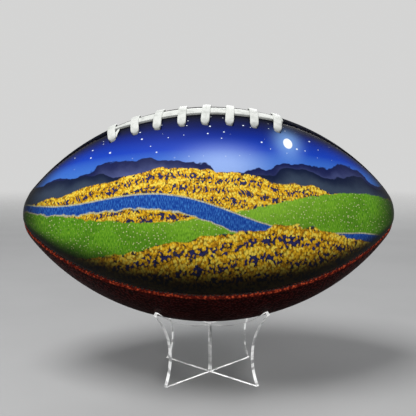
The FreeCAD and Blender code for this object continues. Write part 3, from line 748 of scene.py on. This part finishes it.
class Finish:
    """One material, or the surroundings, and the nodes that make it."""

    def __init__(self, name, owner=None):
        self.name = name
        self.material = owner or bpy.data.materials.new(name)
        self.material.use_nodes = True
        self.tree = self.material.node_tree
        self.tree.nodes.clear()

    def node(self, kind, settings=None, inputs=None, output=0):
        """Add a node: its settings first, then the values and links of its sockets."""
        node = self.tree.nodes.new(kind)
        for name, setting in (settings or {}).items():
            if name == "stops":
                self.set_stops(node.color_ramp, setting)
            elif name == "interpolation":
                node.color_ramp.interpolation = setting
            else:
                setattr(node, name, setting)
        for name, value in (inputs or {}).items():
            if isinstance(value, Value):
                self.tree.links.new(value.socket, node.inputs[name])
            else:
                node.inputs[name].default_value = colour(value)
        if len(node.outputs) > 0:
            return Value(self, node.outputs[output])

    def set_stops(self, ramp, stops):
        while len(ramp.elements) < len(stops):
            ramp.elements.new(1.0)
        for element, (position, tint) in zip(ramp.elements, stops):
            element.position = position
            element.color = colour(tint)

    def place(self):
        return self.node("ShaderNodeTexCoord", output="Object")

    def part(self, vector, axis):
        """One part of a vector: 0 for X, 1 for Y, 2 for Z."""
        return self.node("ShaderNodeSeparateXYZ", None, {0: vector}, axis)

    def attribute(self, name):
        return self.node("ShaderNodeAttribute", {"attribute_name": name}, output="Fac")

    def point(self, x, y, z=0.0):
        return self.node("ShaderNodeCombineXYZ", None, {0: x, 1: y, 2: z})

    def noise(self, vector, scale, detail, roughness=0.5):
        sockets = {"Vector": vector, "Scale": scale, "Detail": detail, "Roughness": roughness}
        return self.node("ShaderNodeTexNoise", None, sockets)

    def cells(self, vector, scale, output="Distance", feature="F1", dimensions="3D"):
        settings = {"feature": feature, "voronoi_dimensions": dimensions}
        return self.node("ShaderNodeTexVoronoi", settings, {"Vector": vector, "Scale": scale}, output)

    def cell_chance(self, vector, scale, dimensions):
        """A number from 0 to 1, the same all over one cell."""
        tint = self.cells(vector, scale, "Color", dimensions=dimensions)
        return self.node("ShaderNodeSeparateColor", None, {0: tint})

    def ramp(self, value, stops, interpolation="LINEAR"):
        settings = {"interpolation": interpolation, "stops": stops}
        return self.node("ShaderNodeValToRGB", settings, {0: value})

    def mix(self, share, first, second):
        return self.node("ShaderNodeMix", {"data_type": "RGBA"}, {0: share, 6: first, 7: second}, 2)

    def shade(self, tint, level):
        """A colour made darker by a level from 0 to 1."""
        return self.mix(level, BLACK, tint)

    def bump(self, height, distance, strength):
        sockets = {"Height": height, "Distance": distance, "Strength": strength}
        return self.node("ShaderNodeBump", None, sockets, "Normal")

    def surface(self, **sockets):
        """Finish the material with one shader, its sockets named with underscores for spaces."""
        inputs = {name.replace("_", " "): value for name, value in sockets.items()}
        self.close(self.node("ShaderNodeBsdfPrincipled", None, inputs))

    def close(self, shader, output="ShaderNodeOutputMaterial"):
        self.node(output, None, {"Surface": shader})


# Colours of the finishes. In a pair the first is the ground, and the second lies over it.
BLACK = (0.0, 0.0, 0.0)
# Painted shade: the under browns are the leather darkened towards the bottom of the ball, the upper browns
# its tone higher up.
SHADED_UNDER_BROWNS = ((0.020, 0.0011, 0.0009), (0.034, 0.0022, 0.0017))
UPPER_BROWNS = ((0.075, 0.008, 0.0055), (0.120, 0.0145, 0.009))
# Painted light: a mid brown that the leather is drawn towards near its seams.
SEAM_LIGHT_BROWN = (0.060, 0.0052, 0.0034)
# Painted shade in the creases between the pebbles.
CREASE_SHADE_BROWN = (0.006, 0.0006, 0.0006)
# Painted highlight on the lips of the lower seams: a dark ground and bright red-orange beads.
LIP_HIGHLIGHT_BROWNS = ((0.09, 0.007, 0.0045), (0.80, 0.11, 0.037))
BORDER_BLUES = ((0.0008, 0.001, 0.003), (0.003, 0.004, 0.012))
LACE_WHITES = ((0.62, 0.635, 0.60), (0.46, 0.475, 0.445))
LACE_GRAIN_GREY = (0.42, 0.425, 0.40)
# Painted shade at the ends of the cross-laces.
LACE_END_SHADE_GREY = (0.24, 0.25, 0.235)
THREAD_BROWNS = ((0.004, 0.002, 0.002), (0.022, 0.007, 0.006))
SHEET_TINTS = ((0.985, 0.99, 0.99), (0.9, 0.9, 0.9))
EDGE_WHITES = ((0.94, 0.95, 0.95), (1.0, 1.0, 1.0))
# Painted glow of the acrylic edges, from none to near white.
EDGE_PAINTED_GLOWS = ((0.02, 0.02, 0.02), (1.0, 1.0, 0.98))
COTTON_TINTS = ((0.35, 0.31, 0.24), (0.62, 0.57, 0.47))
COTTON_SHADE = (0.30, 0.26, 0.20)
BLADDER_BLACKS = ((0.03, 0.03, 0.032), (0.09, 0.09, 0.09))
VALVE_BLACKS = ((0.012, 0.012, 0.012), (0.05, 0.05, 0.05))

# Sizes in the finishes.
PEBBLE_SIZE = 1.7 * MM
BEAD_SIZE = 1.9 * MM
PRINT_GRAIN_SIZE = 1.5 * MM
COTTON_THREAD = 0.8 * MM
ACRYLIC_IOR = 1.49


# Finishes.

def make_brown_leather():
    """Dark red-brown leather, pebbled all over, with painted shade low down and in the creases, painted
    light near the seams and a painted highlight on the lips of the lower seams.
    """
    finish = Finish("brown_leather")
    place = finish.place()
    height = finish.part(place, 2)
    dome = finish.cells(place, 1 / PEBBLE_SIZE, feature="SMOOTH_F1").rise(0.62, 0.12)
    grain = finish.noise(place, 1 / (0.5 * MM), 2.0)
    patches = finish.noise(place, 1 / (22 * MM), 3.0).rise(0.3, 0.7)
    lace = finish.attribute("lace")
    seam = finish.attribute("seam")
    under = finish.mix(patches, *SHADED_UNDER_BROWNS)
    upper = finish.mix(patches, *UPPER_BROWNS)
    # Painted shade: the leather darkens from the upper browns to the under browns towards the bottom of the
    # ball.
    tint = finish.mix(height.rise(62 * MM, 150 * MM), under, upper)
    # Painted light: within 16 mm of the seams the leather is drawn halfway towards a mid brown, lighter
    # than the shaded lower part.
    tint = finish.mix(0.5 * seam.rise(16 * MM, 3 * MM), tint, SEAM_LIGHT_BROWN)
    # Painted shade: near black in the creases between the pebbles.
    crease_shaded = finish.mix(dome, CREASE_SHADE_BROWN, tint)
    # Painted highlight: bright red-orange beads on the pebble tops along the lips of the lower seams.
    beads = finish.cells(place, 1 / BEAD_SIZE).rise(0.62, 0.22)
    lip_highlight = finish.mix(beads * (0.4 + 0.6 * dome), *LIP_HIGHLIGHT_BROWNS)
    lip = seam.rise(3.4 * MM, 1.5 * MM) * lace.rise(6 * MM, 12 * MM)
    tone = finish.mix(lip, crease_shaded, lip_highlight)
    border = lace.rise(32 * MM, 15 * MM)
    # A dark blue border by the lace seam, with painted shade in its pebble creases.
    tone = finish.mix(border, tone, finish.mix(dome, *BORDER_BLUES))
    finish.surface(
        Base_Color=tone, Roughness=0.58 - 0.12 * dome + 0.12 * grain + 0.35 * border,
        Normal=finish.bump(dome + 0.12 * grain, 0.40 * MM, 0.8), Specular_IOR_Level=0.025)
    return finish


def make_white_lace():
    """Off-white coated lace, faintly grained, with painted shade greying its ends where it goes down into
    its holes.
    """
    finish = Finish("white_lace")
    place = finish.place()
    grain = finish.noise(place, 1 / (0.7 * MM), 4.0, 0.6)
    soil = finish.noise(place, 1 / (6 * MM), 3.0)
    tone = finish.mix(soil.rise(0.42, 0.75), *LACE_WHITES)
    tone = finish.mix(grain.rise(0.55, 0.8) * 0.35, tone, LACE_GRAIN_GREY)
    # Painted shade: the lace greyed towards its ends, where it goes down into its holes.
    tone = finish.mix(finish.attribute("end").rise(0.72, 1.02) * 0.75, tone, LACE_END_SHADE_GREY)
    finish.surface(
        Base_Color=tone, Roughness=0.42 + 0.2 * grain,
        Normal=finish.bump(grain, 0.12 * MM, 0.6), Specular_IOR_Level=0.45)
    return finish


def make_seam_stitching():
    """Waxed dark thread, twisted."""
    finish = Finish("seam_stitching")
    twist = finish.noise(finish.place(), 1 / (0.35 * MM), 2.0)
    tone = finish.mix(twist.rise(0.35, 0.7), *THREAD_BROWNS)
    finish.surface(Base_Color=tone, Roughness=0.6 + 0.2 * twist, Normal=finish.bump(twist, 0.1 * MM, 0.7))
    return finish


def make_clear_acrylic():
    """Water-clear cast sheet, with the faintest waviness and a few specks of dust."""
    finish = Finish("clear_acrylic")
    place = finish.place()
    wave = finish.noise(place, 1 / (40 * MM), 1.0)
    dust = finish.cells(place, 1 / (9 * MM)).rise(0.05, 0.02)
    finish.surface(
        Base_Color=finish.mix(dust, *SHEET_TINTS), Roughness=0.01 + 0.25 * dust, IOR=ACRYLIC_IOR,
        Transmission_Weight=1.0, Normal=finish.bump(wave, 0.05 * MM, 0.3))
    return finish


def make_acrylic_edge():
    """Cut edge of the sheet, with a painted glow for the light that it gathers: bright with darker breaks,
    brightest at the feet and horns, and dimmed near the middle as painted shade under the ball.
    """
    finish = Finish("acrylic_edge")
    place = finish.place()
    x, y, z = [finish.part(place, axis) for axis in range(3)]
    lines = finish.noise(place, 1 / (1.2 * MM), 3.0)
    # Painted glow: the edges emit light in breaks, most at the feet and horn tips and least near the middle
    # under the ball.
    glow_breaks = finish.noise(finish.point(0.25 * x, 0.25 * y, z), 1 / (4.5 * MM), 2.0).rise(0.42, 0.54)
    glow_at_feet_and_horns = z.rise(46 * MM, 24 * MM).most(z.rise(54.5 * MM, 55.5 * MM))
    out_of_ball_shade = (x * x + y * y).rise((2 * MM) ** 2, (7 * MM) ** 2).most(z.rise(5 * MM, 3 * MM))
    painted_glow = glow_breaks * (0.2 + 0.8 * glow_at_feet_and_horns) * (0.3 + 0.7 * out_of_ball_shade)
    finish.surface(
        Base_Color=finish.mix(lines.rise(0.3, 0.7), *EDGE_WHITES), Roughness=0.08 + 0.2 * lines,
        IOR=ACRYLIC_IOR, Transmission_Weight=0.55, Emission_Color=finish.mix(painted_glow, *EDGE_PAINTED_GLOWS),
        Emission_Strength=0.5, Normal=finish.bump(lines, 0.06 * MM, 0.5))
    return finish


def make_lining_cloth():
    """Plain woven cotton."""
    finish = Finish("lining_cloth")
    place = finish.place()
    warp, weft = [(finish.part(place, axis) * (math.pi / COTTON_THREAD)).wave() for axis in (0, 2)]
    weave = abs(warp) * abs(weft)
    fibre = finish.noise(place, 1 / (0.6 * MM), 3.0)
    tone = finish.mix(weave, *COTTON_TINTS)
    tone = finish.mix(0.25 * fibre, tone, COTTON_SHADE)
    finish.surface(Base_Color=tone, Roughness=0.85 + 0.1 * fibre, Normal=finish.bump(weave, 0.15 * MM, 0.6))
    return finish


def make_rubber(name, tints):
    """Moulded rubber with a powdery bloom."""
    finish = Finish(name)
    place = finish.place()
    powder = finish.noise(place, 1 / (14 * MM), 5.0, 0.6)
    pores = finish.noise(place, 1 / (0.5 * MM), 2.0)
    finish.surface(
        Base_Color=finish.mix(powder.rise(0.4, 0.75), *tints), Roughness=0.55 + 0.2 * powder,
        Normal=finish.bump(pores, 0.06 * MM, 0.5), Specular_IOR_Level=0.4)
    return finish


def dress_hidden_pieces():
    """Finishes of the pieces that keep their solids: linings, tongue, bladder and valve."""
    finishes = {
        make_lining_cloth(): ("front_lining", "lower_front_lining", "lower_rear_lining",
                              "rear_lining", "lace_tongue"),
        make_rubber("bladder_rubber", BLADDER_BLACKS): ("bladder",),
        make_rubber("valve_rubber", VALVE_BLACKS): ("valve_housing", "valve_plug"),
    }
    for finish, nodes in finishes.items():
        for node in nodes:
            for material_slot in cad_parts[node].material_slots:
                material_slot.material = finish.material


# Printed picture. Places and lengths are in millimetres, along the ball from its middle and down from the
# middle of the panel. The line along the top of a hill or field has waves, each with a length, a start and
# a height.
SKY_TOP, SKY_FOOT = -76, -14
SKY_STOPS = [(0.0, (0.0005, 0.0015, 0.012)), (0.3, (0.0015, 0.007, 0.085)), (0.55, (0.003, 0.020, 0.24)),
             (0.8, (0.006, 0.045, 0.42)), (1.0, (0.05, 0.17, 0.58))]
MOON_PLACE = (52, -40)
MOON_STRETCH = 0.65
MOON_WHITE = (0.92, 0.96, 1.0)
MOON_GLOW = (0.30, 0.56, 0.95)
AFTERGLOW_PLACE = (6, -18)
AFTERGLOW_STRETCH = 1.8
AFTERGLOW_BLUE = (0.42, 0.56, 0.90)
STAR_SCALE = 0.085
STAR_WHITE = (0.85, 0.93, 1.0)

FAR_HILL_TOP = -21
FAR_HILL_WAVES = ((21, 0.8, 4), (8.3, 0, 1.6))
FAR_HILL_BLUES = ((0.006, 0.010, 0.065), (0.075, 0.095, 0.24))
LOW_HILL_TOP = -14
LOW_HILL_WAVES = ((31, 2.1, 4), (9.7, 0, 1.3))
LOW_HILL_BLUES = ((0.004, 0.009, 0.035), (0.040, 0.060, 0.10))

GOLD_STOPS = [(0.0, (0.025, 0.028, 0.12)), (0.14, (0.05, 0.04, 0.03)), (0.24, (0.50, 0.24, 0.010)),
              (0.48, (0.84, 0.48, 0.018)), (0.80, (0.95, 0.70, 0.08))]
FAR_FIELD_TOP = -10
FAR_FIELD_WAVES = ((37, -1.1, 7),)
NEAR_FIELD_TOP = 31
NEAR_FIELD_WAVES = ((44, 0.3, -9),)

MEADOW_TOP = 6
MEADOW_WAVES = ((52, 2.3, 13),)
GRASS_STOPS = [(0.25, (0.03, 0.13, 0.006)), (0.5, (0.13, 0.38, 0.015)), (0.75, (0.32, 0.60, 0.04))]
SWARD_GREEN = (0.045, 0.17, 0.008)
LIT_GREEN = (0.40, 0.62, 0.06)
DAISY_CREAM = (0.80, 0.76, 0.42)

STREAM_MIDDLE = 17
STREAM_FALL = 0.16
STREAM_WAVES = ((26, -0.4, 6),)
STREAM_HALF_WIDTH = 4.0
STREAM_WIDENING = 0.024
STREAM_START = -60
SAND_TINTS = ((0.30, 0.29, 0.16), (0.66, 0.66, 0.50))
WATER_BLUES = ((0.006, 0.045, 0.30), (0.05, 0.22, 0.62))


class PrintedPicture(Finish):
    """A landscape painted from back to front, each part over the picture so far."""

    def __init__(self, name):
        super().__init__(name)
        self.along = self.attribute("along") / MM
        self.across = self.attribute("across") / MM
        self.flat = self.point(self.along, self.across)
        self.drift = self.noise(self.flat, 0.035, 4.0) - 0.5
        self.ripple = self.noise(self.flat, 0.16, 4.0) - 0.5
        self.clumps = 0.6 * (self.noise(self.flat, 0.12, 2.0) - 0.5)
        self.stalks = self.point(self.along + 4 * self.ripple, 0.6 * self.across)
        self.blades = self.noise(self.point(1.6 * self.along, 0.35 * self.across), 1.1, 3.0)
        self.afterglow = self.distance(AFTERGLOW_PLACE, AFTERGLOW_STRETCH)

    def distance(self, place, stretch):
        """Distance from a place in the picture, stretched in the direction across the panel."""
        along, across = place
        return ((self.along - along) ** 2 + (stretch * (self.across - across)) ** 2) ** 0.5

    def depth_below(self, top, waves, unevenness):
        """How far down a point lies from an uneven, wavy line."""
        line = top + unevenness
        for length, start, height in waves:
            line = line + height * (self.along / length + start).wave()
        return self.across - line

    def sky(self):
        """Night-blue sky with a moon in its glow, stars and an afterglow."""
        sky = self.ramp(self.across.rise(SKY_TOP, SKY_FOOT), SKY_STOPS)
        from_moon = self.distance(MOON_PLACE, MOON_STRETCH)
        sky = self.mix(0.45 * from_moon.rise(24, 2) ** 3, sky, MOON_GLOW)
        sky = self.mix(from_moon.rise(3.6, 2.9), sky, MOON_WHITE)
        sky = self.mix(0.6 * self.afterglow.rise(56, 4) ** 2, sky, AFTERGLOW_BLUE)
        from_star = self.cells(self.flat, STAR_SCALE, dimensions="2D")
        star_size = self.cell_chance(self.flat, STAR_SCALE, "2D")
        stars = (from_star / (star_size + 0.2)).rise(0.075, 0.02)
        return self.mix(stars * self.across.rise(-22, -34), sky, STAR_WHITE)

    def hills(self, picture, depth, tints, haze):
        """Hills that pale towards their feet."""
        slope = self.mix(depth.rise(0, haze), *tints)
        return self.mix(depth.rise(-0.4, 0.4), picture, slope)

    def flowers(self, picture, depth, scale, rows, spread, shadow, edge):
        """Golden flowers in rows and clumps, with shadow between them."""
        row_share, row_length = rows
        in_rows = row_share * (depth / row_length).wave()
        chance = self.cell_chance(self.stalks, scale, "2D") + self.clumps + in_rows
        petals = self.cells(self.stalks, scale, dimensions="2D").rise(*spread)
        field = self.shade(self.ramp(chance, GOLD_STOPS, "CONSTANT"), shadow + (1 - shadow) * petals)
        return self.mix(depth.rise(-edge, edge), picture, field)

    def meadow(self, picture):
        """Grass with darker swards, lit in the middle and dotted with daisies."""
        depth = self.depth_below(MEADOW_TOP, MEADOW_WAVES, 5 * self.ripple)
        grass = self.ramp(self.blades, GRASS_STOPS)
        swards = self.noise(self.flat, 0.055, 3.0).rise(0.36, 0.64)
        grass = self.mix(0.5 * swards, grass, SWARD_GREEN)
        grass = self.mix(0.4 * self.afterglow.rise(120, 25), grass, LIT_GREEN)
        daisies = self.cells(self.flat, 0.34, dimensions="2D").rise(0.17, 0.09) * swards
        grass = self.mix(0.8 * daisies, grass, DAISY_CREAM)
        return self.mix(depth.rise(-0.6, 0.6), picture, grass)

    def stream(self, picture):
        """A stream that widens to the right, between sandy banks."""
        bends = 3 * self.ripple + STREAM_FALL * self.along
        from_middle = abs(self.depth_below(STREAM_MIDDLE, STREAM_WAVES, bends))
        half_width = STREAM_WIDENING * (self.along - STREAM_START) + STREAM_HALF_WIDTH
        inside = half_width - from_middle + 2 * self.ripple
        sand = self.mix(self.blades.rise(0.35, 0.7), *SAND_TINTS)
        water = self.mix(self.blades.rise(0.4, 0.75), *WATER_BLUES)
        picture = self.mix(inside.rise(-1.3, -0.7), picture, sand)
        return self.mix(inside.rise(-0.3, 0.3), picture, water)

    def painted_shade_and_lace_fade(self, picture):
        """The picture darkened towards the lower seam and the ends of the ball as painted shade, and faded
        dark towards the lace seam.
        """
        # Painted shade: the picture nearly black at the lower seam and dark at the ends of the ball.
        lower = 0.008 + 0.992 * self.attribute("lower").rise(0.08, 0.44) ** 2
        ends = 0.05 + 0.95 * abs(self.along).rise(143, 110)
        lace = 0.04 + 0.96 * (self.attribute("lace") / MM).rise(0, 22)
        return self.shade(picture, lower * ends * lace)


def make_printed_leather():
    """Smooth leather with a printed picture: flower fields and a stream under a night-blue sky."""
    finish = PrintedPicture("printed_leather")
    drift = finish.drift
    far_hills = finish.depth_below(FAR_HILL_TOP, FAR_HILL_WAVES, 26 * drift)
    low_hills = finish.depth_below(LOW_HILL_TOP, LOW_HILL_WAVES, 20 * drift)
    far_field = finish.depth_below(FAR_FIELD_TOP, FAR_FIELD_WAVES, 14 * drift)
    near_field = finish.depth_below(NEAR_FIELD_TOP, NEAR_FIELD_WAVES, 20 * drift)
    picture = finish.sky()
    picture = finish.hills(picture, far_hills, FAR_HILL_BLUES, haze=14)
    picture = finish.hills(picture, low_hills, LOW_HILL_BLUES, haze=10)
    picture = finish.flowers(
        picture, far_field, scale=1.05, rows=(0.22, 1.3), spread=(0.75, 0.25), shadow=0.55, edge=0.5)
    picture = finish.meadow(picture)
    picture = finish.stream(picture)
    picture = finish.flowers(
        picture, near_field, scale=0.72, rows=(0.24, 2.1), spread=(0.8, 0.3), shadow=0.35, edge=0.6)
    picture = finish.painted_shade_and_lace_fade(picture)

    place = finish.place()
    grain = finish.cells(place, 1 / PRINT_GRAIN_SIZE, feature="SMOOTH_F1").rise(0.6, 0.1)
    fine = finish.noise(place, 1 / (0.4 * MM), 2.0)
    finish.surface(
        Base_Color=picture, Roughness=0.46 + 0.10 * fine,
        Normal=finish.bump(grain + 0.3 * fine, 0.08 * MM, 0.4), Specular_IOR_Level=0.06)
    return finish


# Stage.

FLOOR_RADIUS = 3.0
FLOOR_SIDES = 96
FLOOR_FADE_START, FLOOR_FADE_END = 0.7, 2.4
FLOOR_TONE = (0.43, 0.43, 0.43)
FLOOR_MOTTLE = 0.96
FLOOR_ROUGHNESS = 0.9
FLOOR_GLOSS = 0.1
BACKDROP_TONE = (0.66, 0.66, 0.655)
DAYLIGHT_TONE = (0.95, 0.97, 1.0)
DAYLIGHT_STRENGTH = 0.28

# Each soft light has its place, its size and its power.
SOFTBOXES = {
    "overhead": ((-0.35, -0.35, 1.2), 0.6, 13),
    "front_fill": ((0.5, -1.4, 0.7), 1.0, 7),
    "rear_fill": ((0.3, 1.7, 0.9), 0.8, 9),
}

CAMERA_PLACE = Vector((-0.0175, -0.4975, 0.1758))
CAMERA_AIM = Vector((0.0321, 0.9952, -0.0925))
CAMERA_LENS = 55.94
CAMERA_SENSOR = 36
CAMERA_NEAR = 0.01


def make_floor():
    """Plain pale floor that fades into the backdrop."""
    deselect_all()
    bpy.ops.mesh.primitive_circle_add(
        vertices=FLOOR_SIDES, radius=FLOOR_RADIUS, fill_type="NGON", location=(0, 0, 0))
    floor = named("floor")
    finish = Finish("floor")
    place = finish.place()
    away = finish.node("ShaderNodeVectorMath", {"operation": "LENGTH"}, {0: place}, "Value")
    mottled = tuple(FLOOR_MOTTLE * part for part in FLOOR_TONE)
    tone = finish.mix(finish.noise(place, 9.0, 3.0).rise(0.3, 0.7), FLOOR_TONE, mottled)
    sockets = {"Base Color": tone, "Roughness": FLOOR_ROUGHNESS, "Specular IOR Level": FLOOR_GLOSS}
    shader = finish.node("ShaderNodeBsdfPrincipled", None, sockets)
    clear = finish.node("ShaderNodeBsdfTransparent")
    fade = away.rise(FLOOR_FADE_START, FLOOR_FADE_END)
    finish.close(finish.node("ShaderNodeMixShader", None, {0: fade, 1: shader, 2: clear}))
    floor.data.materials.append(finish.material)


def make_world():
    """Even pale surroundings, seen as the backdrop by the camera, in gloss and through the clear plates."""
    world = bpy.data.worlds.new("surroundings")
    bpy.context.scene.world = world
    finish = Finish("surroundings", world)
    seen = finish.node("ShaderNodeLightPath", output="Is Camera Ray")
    for name in ("Is Glossy Ray", "Is Transmission Ray"):
        seen = seen.most(finish.node("ShaderNodeLightPath", output=name))
    daylight = {"Color": DAYLIGHT_TONE, "Strength": DAYLIGHT_STRENGTH}
    light = finish.node("ShaderNodeBackground", None, daylight)
    backdrop = finish.node("ShaderNodeBackground", None, {"Color": BACKDROP_TONE})
    mixed = finish.node("ShaderNodeMixShader", None, {0: seen, 1: light, 2: backdrop})
    finish.close(mixed, "ShaderNodeOutputWorld")


def add_softbox(name, place, size, power):
    """Square soft light that points at the middle of the ball."""
    lamp = bpy.data.lights.new(name, "AREA")
    lamp.shape = "SQUARE"
    lamp.size = size
    lamp.energy = power
    holder = bpy.data.objects.new(name, lamp)
    bpy.context.collection.objects.link(holder)
    holder.location = place
    aim = Vector((0, 0, BALL_HEIGHT)) - holder.location
    holder.rotation_euler = aim.to_track_quat("-Z", "Y").to_euler()


def make_lights():
    for name, (place, size, power) in SOFTBOXES.items():
        add_softbox(name, place, size, power)


def make_camera():
    view = bpy.data.cameras.new("camera")
    view.lens = CAMERA_LENS
    view.sensor_width = CAMERA_SENSOR
    view.clip_start = CAMERA_NEAR
    camera = bpy.data.objects.new("camera", view)
    bpy.context.collection.objects.link(camera)
    camera.location = CAMERA_PLACE
    camera.rotation_euler = CAMERA_AIM.to_track_quat("-Z", "Y").to_euler()
    bpy.context.scene.camera = camera


brown_leather = make_brown_leather()
printed_leather = make_printed_leather()
white_lace = make_white_lace()
seam_stitching = make_seam_stitching()
clear_acrylic = make_clear_acrylic()
acrylic_edge = make_acrylic_edge()

dress_cover()
dress_lacing()
dress_seams()
dress_stand()
dress_hidden_pieces()
make_floor()
make_world()
make_lights()
make_camera()
bpy.context.scene.view_settings.view_transform = "Standard"
